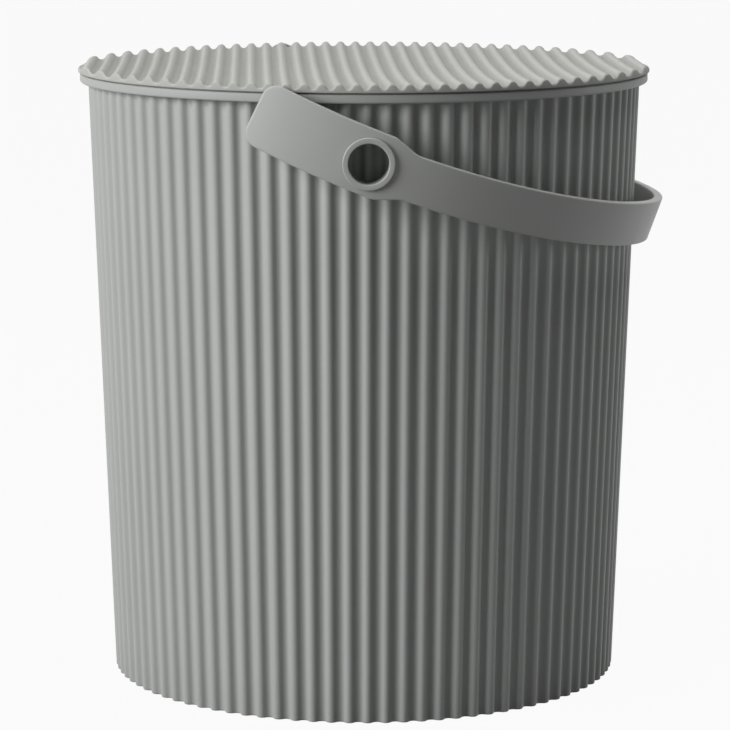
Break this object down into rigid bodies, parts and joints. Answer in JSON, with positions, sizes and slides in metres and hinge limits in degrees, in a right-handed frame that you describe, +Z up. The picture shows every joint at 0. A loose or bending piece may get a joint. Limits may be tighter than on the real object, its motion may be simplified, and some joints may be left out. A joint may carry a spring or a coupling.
{
  "type": "bucket with lid",
  "caption": "Round tapered bucket with vertical ribs, a dished ridged lift-off lid and a wide strap handle that swings on hollow side pivots.",
  "frame": {"origin": "centre of the flat underside, on the surface that the bucket stands on", "axes": "+Z up along the bucket's axis; the handle's swing axis is parallel to Y; +X is the side the handle hangs on at rest"},
  "size_m": [0.3336, 0.3494, 0.3498],
  "materials": {
    "body_plastic": "matt moulded, neutral grey",
    "lid_plastic": "matt moulded, neutral grey",
    "handle_plastic": "matt moulded, neutral grey",
    "eyelet_plastic": "matt moulded, neutral grey"
  },
  "bodies": {
    "bucket": {"bucket_body": "body_plastic", "front_eyelet": "eyelet_plastic", "back_eyelet": "eyelet_plastic"},
    "lid": {"lid": "lid_plastic"},
    "handle": {"handle": "handle_plastic"}
  },
  "joints": [
    {"name": "handle_swing", "type": "hinge", "parent": "bucket", "child": "handle", "pos_m": [0, 0, 0.309], "axis": [0, -1, 0], "range_deg": [-3, 215]},
    {"name": "lid_lift", "type": "slide", "parent": "bucket", "child": "lid", "axis": [0, 0, 1], "range_m": [0, 0.06]}
  ]
}
